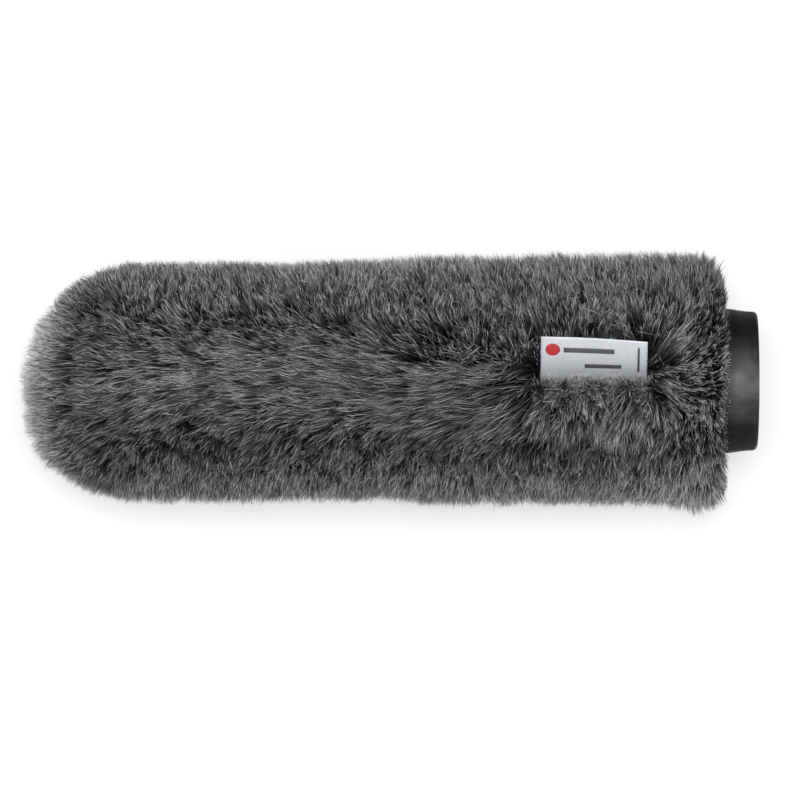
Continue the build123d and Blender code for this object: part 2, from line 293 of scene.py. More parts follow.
def grow(x, turn, around, share, extra_ahead, extra_aside):
    """Centre lines of strands, and the vector across the plane that each one bends in."""
    out, ahead_way, aside_way = directions(turn, around)
    ahead, aside = comb(x, turn, around)
    ahead = ahead + extra_ahead
    aside = aside + extra_aside
    lean = np.maximum(np.hypot(ahead, aside), 1e-3)
    lean_way = (ahead_way * ahead[:, None] + aside_way * aside[:, None]) / lean[:, None]
    root = np.where(x > hem_low_x - 4 * MM, hem_top, root_radius) + ROOT_LIFT
    height = np.minimum(outer_radius(x, turn, around), label_ceiling(x, around)) - root
    height = height * fullness(x, turn, around)

    # each strand is an arc that starts nearly upright and leans more towards its tip
    first = 0.3 * lean
    bend = 1.35 * lean
    rise = (np.sin(first + bend) - np.sin(first)) / bend
    length = np.clip(height * share, 0.8 * MM, None) / np.clip(rise, 0.62, 1)
    base = on_axis(x) + out * root[:, None]
    angle = first[:, None] + bend[:, None] * STEPS[None, :]
    up = (np.sin(angle) - np.sin(first)[:, None]) / bend[:, None] * length[:, None]
    along = (np.cos(first)[:, None] - np.cos(angle)) / bend[:, None] * length[:, None]
    lines = base[:, None, :] + up[..., None] * out[:, None, :] + along[..., None] * lean_way[:, None, :]
    return lines, np.cross(out, lean_way)


def clumped(lines, x, turn, around, size, seed, pull):
    """Draws the tips of neighbouring strands together. Also returns one number for each clump."""
    reach = outer_radius(x, turn, around) * 0.85
    spots = on_axis(x) + directions(turn, around)[0] * reach[:, None]
    centre, key = nearest_centre(spots, size, seed)
    numbers = [scatter(key, seed + 10 + i) for i in range(4)]
    guide, _ = grow(
        *place_of(centre),
        0.86 + 0.22 * numbers[0],
        radians(34) * (numbers[1] - 0.5),
        radians(38) * (numbers[2] - 0.5),
    )
    strength = pull[:, None] * STEPS[None, :] ** 1.2
    return lines + (guide - lines) * strength[..., None], numbers[3]


def waved(random, lines, across):
    """Gives each strand a slight wave, sideways to its bend."""
    phase = 2 * pi * random.random(len(lines))
    size = 0.32 * MM * (0.4 + random.random(len(lines)))
    swing = np.sin(phase[:, None] + 5.2 * STEPS[None, :]) * STEPS[None, :] * size[:, None]
    return lines + across[:, None, :] * swing[..., None]


def trimmed(lines):
    """Shortens the strands that would stand out past the pile's outside or its rear edge."""
    root, tip = lines[:, 0], lines[:, -1]
    x, turn, around = place_of(tip)
    radius = np.hypot(np.hypot(tip[:, 1], tip[:, 2]), np.minimum(tip[:, 0] - nose_x, 0))
    limit = outer_radius(np.minimum(x, rear_x - 4 * MM), turn, around) + 0.8 * MM
    limit += 1.3 * MM * noise(tip, 3.5 * MM, 97) + 1.6 * MM * noise(tip, 0.4 * MM, 98)
    share = (limit - root_radius) / np.maximum(radius - root_radius, 1 * MM)
    behind = np.maximum(tip[:, 0] - root[:, 0], 0.1 * MM)
    rear_share = (rear_x + 2.5 * MM - root[:, 0]) / behind
    share = np.clip(np.minimum(share, rear_share), 0.4, 1)
    return root[:, None] + (lines - root[:, None]) * share[:, None, None]


# ------------ meshes
def add_object(name, mesh, material):
    """Puts a mesh in the scene, with one material."""
    mesh.materials.append(material)
    made = bpy.data.objects.new(name, mesh)
    bpy.context.scene.collection.objects.link(made)
    return made


def make_object(name, vertices, faces, material, smooth=True):
    mesh = bpy.data.meshes.new(name)
    mesh.from_pydata([tuple(v) for v in vertices], [], faces)
    mesh.update()
    if smooth:
        mesh.shade_smooth()
    return add_object(name, mesh, material)


def strand_points(lines, across, radius, tone, depth):
    """Corners of three-sided strands, and their map coordinates, which hold the tone and the height."""
    count, rings = len(lines), len(TAPER)
    tangent = np.gradient(lines, axis=1)
    tangent /= np.linalg.norm(tangent, axis=2, keepdims=True) + 1e-12
    side = across[:, None, :] - tangent * (tangent * across[:, None, :]).sum(2, keepdims=True)
    side /= np.linalg.norm(side, axis=2, keepdims=True) + 1e-12
    up = np.cross(tangent, side)
    vertices = np.empty((count, rings * 3 + 1, 3))
    coordinates = np.empty((count, rings * 3 + 1, 2))
    spread = 0.004  # keeps a strand's corners apart in the map
    for ring in range(rings):
        for corner in range(3):
            angle = 2 * pi * corner / 3
            offset = side[:, ring] * cos(angle) + up[:, ring] * sin(angle)
            vertices[:, ring * 3 + corner] = lines[:, ring] + offset * (radius * TAPER[ring])[:, None]
            coordinates[:, ring * 3 + corner, 0] = tone + spread * (corner - 1)
            coordinates[:, ring * 3 + corner, 1] = STEPS[ring] ** depth
    vertices[:, -1] = lines[:, -1]
    coordinates[:, -1, 0] = tone
    coordinates[:, -1, 1] = 1.0
    return vertices, np.clip(coordinates, 0.003, 0.997)


def strand_faces():
    """Faces of one closed three-sided strand: the root's cap, the sides, and the tip."""
    rings = len(TAPER)
    faces = [[2, 1, 0]]
    for low in range(0, (rings - 1) * 3, 3):
        for corner in range(3):
            following = (corner + 1) % 3
            faces.append([low + corner, low + following, low + 3 + following, low + 3 + corner])
    low = (rings - 1) * 3
    for corner in range(3):
        faces.append([low + corner, low + (corner + 1) % 3, rings * 3])
    return faces


def strand_mesh(name, lines, across, radius, tone, depth, material):
    """Closed tapering strands in one mesh. A strand with a depth under 1 is pale further down."""
    vertices, coordinates = strand_points(lines, across, radius, tone, depth)
    count, per_strand = vertices.shape[:2]
    faces = strand_faces()
    corners = np.concatenate(faces)
    starts = np.cumsum([0] + [len(face) for face in faces[:-1]])
    strand = np.arange(count)[:, None]
    loop_vertices = (corners[None, :] + strand * per_strand).ravel()
    loop_starts = (starts[None, :] + strand * len(corners)).ravel()

    mesh = bpy.data.meshes.new(name)
    mesh.vertices.add(count * per_strand)
    mesh.vertices.foreach_set("co", vertices.astype(np.float32).ravel())
    mesh.loops.add(len(loop_vertices))
    mesh.loops.foreach_set("vertex_index", loop_vertices.astype(np.int32))
    mesh.polygons.add(len(loop_starts))
    mesh.polygons.foreach_set("loop_start", loop_starts.astype(np.int32))
    mesh.update(calc_edges=True)
    mesh.shade_smooth()
    layer = mesh.uv_layers.new(name="OFBake")
    flat = coordinates.reshape(-1, 2)[loop_vertices]
    layer.data.foreach_set("uv", flat.astype(np.float32).ravel())
    return add_object(name, mesh, material)


def revolved(name, outline, steps, material, closed=False, shift=None):
    """Turns an outline of (x, radius) points round the X axis. Ends on the axis become poles."""
    vertices = []
    rings = []
    for x, radius in outline:
        if radius < 1e-6:
            rings.append([len(vertices)] * steps)
            vertices.append((x, 0.0, 0.0))
            continue
        first = len(vertices)
        for step in range(steps):
            angle = 2 * pi * step / steps
            vertices.append((x, radius * cos(angle), radius * sin(angle)))
        rings.append(list(range(first, first + steps)))
    if closed:
        rings.append(rings[0])
    faces = []
    for near, far in zip(rings, rings[1:]):
        for step in range(steps):
            following = (step + 1) % steps
            face = [near[step], near[following], far[following], far[step]]
            faces.append([v for i, v in enumerate(face) if v != face[i - 1]])
    vertices = np.array(vertices)
    if shift is not None:
        vertices = shift(vertices)
    return make_object(name, vertices, faces, material)


def cloth_sheet(name, grid, thickness, material):
    """Closed sheet of that thickness round a grid of points."""
    rows, columns = grid.shape[:2]
    along = np.gradient(grid, axis=0)
    across = np.gradient(grid, axis=1)
    normal = np.cross(along, across)
    normal /= np.linalg.norm(normal, axis=2, keepdims=True)
    sides = [grid + normal * thickness / 2, grid - normal * thickness / 2]
    vertices = np.concatenate([side.reshape(-1, 3) for side in sides])
    back = rows * columns
    faces = []
    for row in range(rows - 1):
        for column in range(columns - 1):
            corner = row * columns + column
            face = [corner, corner + columns, corner + columns + 1, corner + 1]
            faces.append(face)
            faces.append([v + back for v in reversed(face)])
    rim = list(range(columns))
    rim += [row * columns + columns - 1 for row in range(1, rows)]
    rim += [(rows - 1) * columns + column for column in range(columns - 2, -1, -1)]
    rim += [row * columns for row in range(rows - 2, 0, -1)]
    for first, second in zip(rim, rim[1:] + rim[:1]):
        faces.append([first, second, second + back, first + back])
    return make_object(name, vertices, faces, material)


# ------------ materials
def shader_inputs(material):
    return material.node_tree.nodes["Principled BSDF"].inputs


def new_material(name, color, roughness, **sockets):
    """A plain material. In a socket's name, spaces are written as underscores."""
    material = bpy.data.materials.new(name)
    material.use_nodes = True
    inputs = shader_inputs(material)
    inputs["Base Color"].default_value = (*color, 1)
    inputs["Roughness"].default_value = roughness
    for socket, value in sockets.items():
        inputs[socket.replace("_", " ")].default_value = value
    return material


def add_node(material, kind, **settings):
    """A node with its sockets or its own settings set, with names written as in new_material."""
    node = material.node_tree.nodes.new(kind)
    for key, value in settings.items():
        socket = key.replace("_", " ")
        if socket in node.inputs:
            node.inputs[socket].default_value = value
        else:
            setattr(node, key, value)
    return node


def connect(material, source, target):
    material.node_tree.links.new(source, target)


def grey(level):
    return (level, level, level)


def color_ramp(material, factor, stops):
    """Colours along a factor from 0 to 1. stops are (position, (r, g, b))."""
    node = add_node(material, "ShaderNodeValToRGB")
    elements = node.color_ramp.elements
    while len(elements) < len(stops):
        elements.new(0.5)
    for element, (position, color) in zip(elements, stops):
        element.position = position
        element.color = (*color, 1)
    connect(material, factor, node.inputs["Fac"])
    return node.outputs["Color"]


def multiply(material, first, second):
    """The product of two colours."""
    node = add_node(material, "ShaderNodeMix", data_type="RGBA", blend_type="MULTIPLY")
    factor, color_a, color_b = node.inputs[0], node.inputs[6], node.inputs[7]
    factor.default_value = 1.0
    connect(material, first, color_a)
    connect(material, second, color_b)
    return node.outputs[2]


def facing(material, direction, way):
    """How far a direction points that way, from -1 to 1."""
    node = add_node(material, "ShaderNodeVectorMath", operation="DOT_PRODUCT")
    node.inputs[1].default_value = way
    connect(material, direction, node.inputs[0])
    return node.outputs["Value"]


def placed_node(material, kind, **settings):
    """A node fed with the object's own coordinates, so that a Scale is in lumps to a metre."""
    place = add_node(material, "ShaderNodeTexCoord")
    node = add_node(material, kind, **settings)
    connect(material, place.outputs["Object"], node.inputs["Vector"])
    return node


def noise_node(material, scale, detail=3.0):
    """Cloudy noise from 0 to 1."""
    return placed_node(material, "ShaderNodeTexNoise", Scale=scale, Detail=detail).outputs["Fac"]


def stretched_noise(material, scale, detail):
    """Noise with its own scale along each axis."""
    stretch = placed_node(material, "ShaderNodeMapping", Scale=scale)
    node = add_node(material, "ShaderNodeTexNoise", Scale=1.0, Detail=detail)
    connect(material, stretch.outputs["Vector"], node.inputs["Vector"])
    return node.outputs["Fac"]


def add_bump(material, height, strength, distance):
    node = add_node(material, "ShaderNodeBump", Strength=strength, Distance=distance)
    connect(material, height, node.inputs["Height"])
    connect(material, node.outputs["Normal"], shader_inputs(material)["Normal"])


def set_color(material, color):
    connect(material, color, shader_inputs(material)["Base Color"])


def fur_material():
    """Painted shade and painted light along each strand: dark at the root, paler to the tip. The tone runs
    from dark strands to pale ones.
    """
    material = new_material("fur_strands", (0.07, 0.07, 0.072), 0.4, Specular_IOR_Level=0.5)
    coordinates = add_node(material, "ShaderNodeUVMap", uv_map="OFBake")
    parts = add_node(material, "ShaderNodeSeparateXYZ")
    connect(material, coordinates.outputs["UV"], parts.inputs["Vector"])
    # painted shade deep in the pile at the root, rising to painted light at the tip
    height = color_ramp(
        material,
        parts.outputs["Y"],
        [
            (0.0, grey(0.004)),
            (0.45, (0.016, 0.016, 0.0165)),
            (0.72, (0.085, 0.085, 0.087)),
            (1.0, (0.46, 0.46, 0.465)),
        ],
    )
    tone = color_ramp(
        material,
        parts.outputs["X"],
        [
            (0.0, grey(0.1)),
            (0.45, (0.7, 0.7, 0.705)),
            (0.75, (1.5, 1.5, 1.505)),
            (1.0, grey(2.1)),
        ],
    )
    set_color(material, multiply(material, height, tone))
    return material


def undercoat_material():
    """Dull fluff, painted dark as the shade deep in the pile."""
    material = new_material("fur_undercoat", (0.01, 0.01, 0.011), 0.9, Specular_IOR_Level=0.1)
    fluff = noise_node(material, 900.0, 4.0)
    dark, pale = (0.006, 0.006, 0.007), (0.02, 0.02, 0.021)
    set_color(material, color_ramp(material, fluff, [(0.3, dark), (0.7, pale)]))
    add_bump(material, fluff, 0.8, 0.001)
    return material


def knit_material():
    """Dark knit with ribs."""
    material = new_material("knitted_backing", (0.03, 0.03, 0.032), 0.85, Specular_IOR_Level=0.2)
    wave = {"Scale": 420.0, "Distortion": 1.5, "Detail_Scale": 3.0, "bands_direction": "X"}
    courses = placed_node(material, "ShaderNodeTexWave", **wave).outputs["Fac"]
    set_color(material, color_ramp(material, courses, [(0.2, grey(0.012)), (0.9, grey(0.042))]))
    add_bump(material, courses, 0.7, 0.0004)
    return material


def foam_material():
    """Open cells painted dark as the shade in their hollows, with paler walls."""
    material = new_material("open_cell_foam", (0.03, 0.03, 0.033), 0.95, Specular_IOR_Level=0.15)
    cells = placed_node(material, "ShaderNodeTexVoronoi", Scale=1300.0, feature="DISTANCE_TO_EDGE")
    inward = cells.outputs["Distance"]
    # painted shade in the cells' hollows, paler at the walls
    set_color(material, color_ramp(material, inward, [(0.05, grey(0.08)), (0.4, grey(0.008))]))
    add_bump(material, inward, 0.8, 0.0006)
    return material


def rubber_material():
    """Matte moulded rubber, mottled, with a painted highlight on top and painted light on its -Y side. Faces
    that don't face away from the axis, such as the bore, are painted darker as shade.
    """
    material = new_material("boot_rubber", grey(0.01), 0.4, Specular_IOR_Level=0.02)
    flat = placed_node(material, "ShaderNodeVectorMath", operation="MULTIPLY")
    flat.inputs[1].default_value = (0.0, 1.0, 1.0)
    around = add_node(material, "ShaderNodeVectorMath", operation="NORMALIZE")
    connect(material, flat.outputs["Vector"], around.inputs[0])
    # painted highlight along the top, leaning a little towards +Y
    painted_boot_light = color_ramp(
        material,
        facing(material, around.outputs["Vector"], (0.0, 0.02, 0.9998)),
        [
            (0.66, (0.005, 0.005, 0.0049)),
            (0.76, (0.007, 0.007, 0.0068)),
            (0.87, (0.019, 0.019, 0.0186)),
            (0.95, (0.044, 0.044, 0.043)),
            (1.0, (0.096, 0.096, 0.094)),
        ],
    )
    # painted light: the -Y side is painted paler
    painted_side_light = color_ramp(
        material,
        facing(material, around.outputs["Vector"], (0.0, -1.0, 0.0)),
        [(0.3, grey(1.0)), (0.6, grey(2.0)), (0.9, grey(3.4))],
    )
    # painted shade: faces not facing away from the axis, such as the bore and the flat ends, are painted
    # darker
    outward = add_node(material, "ShaderNodeVectorMath", operation="DOT_PRODUCT")
    connect(material, around.outputs["Vector"], outward.inputs[0])
    place = add_node(material, "ShaderNodeTexCoord")
    connect(material, place.outputs["Normal"], outward.inputs[1])
    painted_shade_inside = color_ramp(material, outward.outputs["Value"], [(0.0, grey(0.25)), (0.05, grey(1.0))])
    cloud = color_ramp(material, noise_node(material, 75.0, 7.0), [(0.32, grey(0.42)), (0.7, grey(1.5))])
    painted_boot_light = multiply(material, multiply(material, painted_boot_light, painted_side_light), painted_shade_inside)
    set_color(material, multiply(material, painted_boot_light, cloud))
    worn = color_ramp(material, noise_node(material, 160.0, 4.0), [(0.35, grey(0.32)), (0.7, grey(0.6))])
    connect(material, worn, shader_inputs(material)["Roughness"])
    add_bump(material, noise_node(material, 2600.0, 2.0), 0.15, 0.0002)
    return material


def plastic_material():
    """Black plastic with a fine grain."""
    material = new_material("tube_plastic", (0.02, 0.02, 0.021), 0.45)
    grain = noise_node(material, 1500.0)
    set_color(material, color_ramp(material, grain, [(0.3, grey(0.016)), (0.8, grey(0.03))]))
    add_bump(material, grain, 0.2, 0.0002)
    return material


def steel_material():
    """Brushed steel, with the brushing along X."""
    material = new_material("clamp_steel", grey(0.5), 0.35, Metallic=1.0)
    brushing = stretched_noise(material, (200.0, 4000.0, 4000.0), 2.0)
    set_color(material, color_ramp(material, brushing, [(0.2, grey(0.4)), (0.8, grey(0.62))]))
    return material


def thread_material(name, low, high):
    """Twisted thread or covered elastic, with fine flecks from the twist."""
    material = new_material(name, low, 0.7)
    twist = noise_node(material, 3500.0, 1.0)
    set_color(material, color_ramp(material, twist, [(0.35, low), (0.65, high)]))
    add_bump(material, twist, 0.5, 0.0002)
    return material


def satin_material(name, low, high):
    """Woven ribbon with fine floats along X."""
    material = new_material(name, high, 0.38, Specular_IOR_Level=0.6, Sheen_Weight=0.25)
    weave = stretched_noise(material, (900.0, 5200.0, 5200.0), 1.0)
    floats = color_ramp(material, weave, [(0.3, low), (0.65, high)])
    cloud = color_ramp(material, noise_node(material, 90.0, 2.0), [(0.3, grey(0.9)), (0.7, grey(1.0))])
    set_color(material, multiply(material, floats, cloud))
    add_bump(material, weave, 0.35, 0.00012)
    return material


# ------------ fur
def even_spread(count):
    """Pairs of numbers from 0 to 1 that fill the square evenly."""
    index = np.arange(count) + 1
    return (index * 0.7548776662466927) % 1.0, (index * 0.5698402909980532) % 1.0


def sown_places(random):
    """Roots of all strands, as x, turn and around, and which of them are edge hair."""
    along, body_round = even_spread(BODY_STRANDS)
    height, dome_round = even_spread(DOME_STRANDS)
    back, edge_round = even_spread(EDGE_STRANDS)
    edge_start, edge_width = 1.0 * MM, 2.6 * MM
    body_x = nose_x + along * (rear_x - edge_width - nose_x)
    edge_x = rear_x - (edge_start + edge_width * back)
    x = np.concatenate([body_x, np.full(DOME_STRANDS, nose_x), edge_x])
    turn = np.concatenate([np.full(BODY_STRANDS, pi / 2), np.arccos(height), np.full(EDGE_STRANDS, pi / 2)])
    around = np.concatenate([body_round, dome_round, edge_round]) * 2 * pi - pi
    edge = np.arange(len(x)) >= BODY_STRANDS + DOME_STRANDS
    # half of the hair that is pressed on the floor is left out
    thinned = (np.sin(around) * np.sin(turn) < -0.75) & (random.random(len(x)) < 0.5)
    return x[~thinned], turn[~thinned], around[~thinned], edge[~thinned]


def in_label_sweep(lines):
    """True for strands with a point in the space that the label swings through."""
    touched = np.zeros(len(lines), dtype=bool)
    clear = 0.8 * MM
    for part in np.linspace(0, 1, 6)[:-1]:
        points = lines[:, :-1] * (1 - part) + lines[:, 1:] * part
        y, z = points[..., 1], points[..., 2] - hinge_z
        inside = np.abs(points[..., 0] - label_middle_x) < label_width / 2 + clear
        inside &= y * cos(highest_lean) - z * sin(highest_lean) > -clear
        inside &= y * cos(lowest_lean) - z * sin(lowest_lean) < 0.5 * clear
        inside &= (np.hypot(y, z) < label_height + clear) & (z > -clear)
        touched |= inside.any(axis=1)
    return touched


def in_parting(lines):
    """True for strands that cross the parting over the nose seam, near the top."""
    middle_x, middle_y = nose_x - 29.5 * MM, 5 * MM
    half_length, half_width = 2.7 * MM, 7 * MM
    inside = np.zeros(len(lines), dtype=bool)
    for ring in (2, 3, 4):
        points = lines[:, ring]
        spread = 1 + 0.4 * noise(points, 3 * MM, 95)
        reach = np.hypot((points[:, 0] - middle_x) / half_length, (points[:, 1] - middle_y) / half_width)
        inside |= (reach * spread < 1) & (points[:, 2] > root_radius)
    return inside


def beside_label(x, around):
    """1 next to the label's upper side and rear end, falling to 0 further off. The hair there gets painted
    light.
    """
    arc = from_top_of(around) * ARC_RADIUS
    past_end = x - np.clip(x, label_low.x, label_high.x)
    past_side = arc - np.clip(arc, 0, 17 * MM)
    near = hill(np.hypot(past_end, past_side), 0, 7 * MM)
    return near * ramp(x, label_low.x - 2 * MM, label_low.x + 4 * MM) * ramp(arc, -5 * MM, 0)


def painted_light_and_shade(x, turn, around):
    """How much paler, or darker below 0, the hair is painted at a place, as painted light and painted shade:
    painted shade where two flows part.
    """
    from_top = from_top_of(around)
    arc = from_top * ARC_RADIUS
    along_stream = hill(from_top, 0, radians(18))
    near_rear = ramp(x, -50 * MM, -30 * MM)
    past_end = np.hypot(x - label_high.x - 6 * MM, arc - 7 * MM)
    # painted light (above 0) and painted shade (below 0) on the body
    on_body = [
        # the flat stream, towards the nose and towards the label
        (0.02, along_stream * (1 - ramp(x, -150 * MM, -110 * MM))),
        (-0.05, along_stream * ramp(x, -200 * MM, -170 * MM) * (x < label_low.x)),
        # the label's side: a narrow parting, a wide one, and the flank
        (-0.29, hill(from_top, radians(23.5), radians(6.5))),
        (-0.116, hill(from_top, radians(49), radians(13))),
        (-0.05, ramp(from_top, radians(50), radians(70))),
        # the other side: one parting, and the flank
        (-0.39, hill(from_top, radians(-35), radians(14))),
        (-0.08, ramp(-from_top, radians(50), radians(70))),
        # the rear: the label's side, the other side, and the top
        (-0.09, near_rear * ramp(arc, 4 * MM, 14 * MM)),
        (0.19, near_rear * ramp(-arc, 10 * MM, 20 * MM)),
        (0.06, ramp(x, -45 * MM, -30 * MM) * hill(arc, 0, 14 * MM)),
        # round the label: in front of its face, above it, and past its rear end
        (0.1, ramp(x, label_low.x - 4 * MM, label_low.x) * hill(arc, -13 * MM, 8 * MM)),
        (0.12, beside_label(x, around)),
        (0.14, hill(past_end, 0, 7 * MM)),
    ]
    # painted shade in the furrow over the nose seam, and painted light at the nose's tip
    nose_seam = hill(turn, radians(66), radians(14)) * (np.abs(from_top) < pi / 2)
    tip = hill(turn, 0, radians(40))
    body_total = sum(amount * where for amount, where in on_body)
    return np.sin(turn) ** 2 * body_total - 0.22 * nose_seam + 0.72 * tip


def grow_lines(random, x, turn, around, edge):
    """Centre lines of the strands, the way across each, which are guard hair, and their clumps' tone."""
    count = len(x)

    # each strand's share of the full height, and how far it strays from the combing
    share = 0.74 + 0.32 * random.random(count) ** 0.8
    share -= 0.28 * (1 - random.random(count) ** 0.6) * (1 - ramp(turn, radians(25), radians(50)))
    guard = random.random(count) < GUARD_PART
    stray = random.random(count) < STRAY_PART
    share = np.where(guard, 1.0 + 0.06 * random.random(count), share)
    disorder = np.where(stray, radians(21), radians(9)) * (1 - 0.5 * ramp(x, *REAR_CALMS))
    short = 0.22 + 0.6 * random.random(count) ** 1.5
    backwards = edge * radians(40) * (0.95 - short) * (0.5 + random.random(count))
    share = np.where(edge, short, share)
    extra_ahead = disorder * random.standard_normal(count) - backwards
    extra_aside = disorder * random.standard_normal(count)
    lines, across = grow(x, turn, around, share, extra_ahead, extra_aside)

    # fine clumps, gathered in coarse ones. Loose strands hardly join them
    loose = guard | stray | edge
    pull = np.where(loose, 0.12, 0.55 + 0.4 * random.random(count))
    lines, fine_tone = clumped(lines, x, turn, around, FINE_CLUMP, 20, pull)
    pull = 0.2 + 0.26 * random.random(count) + 0.16 * (1 - ramp(turn, radians(35), radians(75)))
    pull = np.where(loose, 0.1, pull)
    lines, coarse_tone = clumped(lines, x, turn, around, COARSE_CLUMP, 40, pull)
    clump_tone = 0.28 * (fine_tone - 0.5) + 0.16 * (coarse_tone - 0.5)
    return trimmed(waved(random, lines, across)), across, guard, clump_tone


def grow_fur(material):
    """All the hair but the fringe, cut into pieces along X."""
    random = np.random.default_rng(7)
    x, turn, around, edge = sown_places(random)
    lines, across, guard, clump_tone = grow_lines(random, x, turn, around, edge)
    count = len(x)
    patches = noise(lines[:, -1], 14 * MM, 60)
    # each strand's own random tone, with painted light and painted shade added by place
    tone = 0.368 + clump_tone + 0.1 * patches + painted_light_and_shade(x, turn, around)
    tone += 0.42 * random.standard_normal(count) + 0.2 * guard - 0.1 * edge
    tone = np.clip(tone, 0.01, 0.99)
    radius = STRAND_RADIUS * (0.7 + 0.6 * random.random(count)) * np.where(guard, 0.75, 1.0)
    # painted light: strands at the nose's tip and beside the label are painted pale further down
    painted_light_nose = 0.65 * (1 - ramp(turn, radians(22), radians(58)))
    painted_light_label = (0.25 - 0.15 * ramp(x, label_high.x, label_high.x + 4 * MM)) * beside_label(x, around)
    depth = 1 - painted_light_nose - painted_light_label

    keep = ~in_label_sweep(lines) & (lines[:, :, 2].min(axis=1) > floor_z)
    keep &= ~(in_parting(lines) & (random.random(count) < 0.85))
    order = np.argsort(lines[keep, 0, 0], kind="stable")
    kept = np.flatnonzero(keep)[order]
    piece_count = -(-len(kept) // PIECE_STRANDS)
    pieces = []
    for number, part in enumerate(np.array_split(kept, piece_count)):
        name = f"fur_band_{number + 1:02d}"
        looks = radius[part], tone[part], depth[part]
        pieces.append(strand_mesh(name, lines[part], across[part], *looks, material))
    return pieces


def grow_fringe(material):
    """Loose hair from in front of the label that falls over its lower edge."""
    random = np.random.default_rng(11)
    count = FRINGE_STRANDS
    past_ends = 2 * MM
    x = label_low.x - past_ends + (label_width + 2 * past_ends) * random.random(count)
    behind = random.random(count)
    root_y = -0.6 * MM - 4.4 * MM * behind
    root_z = np.sqrt(root_radius ** 2 - root_y ** 2) + ROOT_LIFT
    lock_width = 1.7 * MM
    lock = np.round(x / lock_width) * lock_width
    spots = on_axis(lock)
    rise = (9 + 6.0 * random.random(count)) * MM
    over = (4.0 - 9.5 * behind + 1.5 * random.standard_normal(count) + 2.0 * noise(spots, 2.4 * MM, 90)) * MM
    over = np.minimum(over, 3.6 * MM - root_y)
    sway = (4.0 * noise(spots, 2.6 * MM, 91) + 1.2 * random.standard_normal(count)) * MM + 0.55 * (lock - x)
    lines = np.empty((count, len(STEPS), 3))
    lines[..., 0] = x[:, None] + sway[:, None] * STEPS ** 1.6
    lines[..., 1] = root_y[:, None] + over[:, None] * STEPS ** 2.4 - 0.9 * MM * np.sin(pi * STEPS)
    lines[..., 2] = root_z[:, None] + rise[:, None] * STEPS
    across = np.tile([1.0, 0.0, 0.0], (count, 1))
    lines = waved(random, lines, across)
    tone = np.clip(0.66 - 0.1 * behind + 0.22 * random.standard_normal(count), 0.01, 0.99)
    radius = STRAND_RADIUS * (0.5 + 0.4 * random.random(count))
    return strand_mesh("fur_fringe", lines, across, radius, tone, 0.75, material)


def undercoat_shift(vertices):
    """Lumps in the undercoat, and a furrow that the label stands in."""
    x, y, z = vertices.T
    lumps = 1 + 0.03 * noise(vertices, 5 * MM, 70) + 0.03 * noise(vertices, 2.5 * MM, 71)
    along = ramp(x, label_low.x - 4 * MM, label_low.x - 1 * MM)
    along *= 1 - ramp(x, label_high.x + 1 * MM, label_high.x + 4 * MM)
    across = ramp(y, -3 * MM, -1 * MM) * (1 - ramp(y, 6 * MM, 8 * MM)) * (z > 0)
    furrow = along * across
    radius = np.hypot(y, z)
    outside = radius > root_radius + 1.5 * MM
    wanted = radius * lumps * (1 - furrow) + (root_radius + 0.45 * MM) * furrow
    scale = np.where(outside & (x > nose_x), wanted / np.maximum(radius, 1e-9), lumps)
    shifted = vertices.copy()
    shifted[:, 1:] *= np.where(outside, scale, 1)[:, None]
    return shifted


def nose_point(radius, turn):
    """Outline point in the nose, at an angle from the tip."""
    return (nose_x - radius * cos(turn), radius * sin(turn))


def nose_arc(radius, start, end, count):
    """Points of an arc in the nose, between two angles from the tip."""
    return [nose_point(radius, turn) for turn in np.linspace(start, end, count)]


def undercoats(material):
    """Fluff over the backing, painted dark as the shade deep in the pile, that hides the strands' roots."""
    top = root_radius + 4.2 * MM
    low = root_radius + 0.1 * MM
    outline = [nose_point(low, seam_turn)]
    outline += nose_arc(top, seam_turn, pi / 2, 10)
    outline += [(x, top) for x in np.linspace(nose_x + 1.5 * MM, hem_low_x - 6 * MM, 150)]
    outline += [(hem_low_x - 5 * MM, hem_top + 3 * MM), (rear_x - 5 * MM, hem_top + 2.4 * MM)]
    outline += [(rear_x - 1.2 * MM, hem_top + 0.9 * MM), (rear_x - 1.5 * MM, hem_top + 0.2 * MM)]
    outline += [(hem_low_x - 5 * MM, hem_top + 0.2 * MM), (hem_low_x - 6 * MM, low), (nose_x, low)]
    body = revolved("undercoat_body", outline, 220, material, closed=True, shift=undercoat_shift)
    outline = nose_arc(top, 0, seam_turn, 14) + nose_arc(low, seam_turn, 0, 10)
    return body, revolved("undercoat_nose", outline, 160, material, shift=undercoat_shift)


# ------------ label
PLY_GAP = 0.28 * MM  # from the label's middle to each of its two plies

# Plain bars on the label, in mm: start from its front end, width, start from its foot, height.
LABEL_BARS = [(9.0, 20.0, 15.1, 2.4), (17.4, 14.6, 7.4, 2.1), (38.2, 0.9, 5.8, 13.4)]


def label_point(x, height, off):
    """Point on the label: height along it, off its middle surface towards the viewer's side.

    The label leans a little more at its front end and at its top, and bows slightly.
    """
    part = (x - label_low.x) / label_width
    lean = radians(49.4 - 8.4 * part) + radians(5) * (height / label_height - 0.5)
    bow = 0.5 * MM * sin(pi * part) * height / label_height
    y = height * sin(lean) - off * cos(lean) + bow * sin(lean)
    z = height * cos(lean) + off * sin(lean) + bow * cos(lean)
    return (x, y, hinge_z + z)


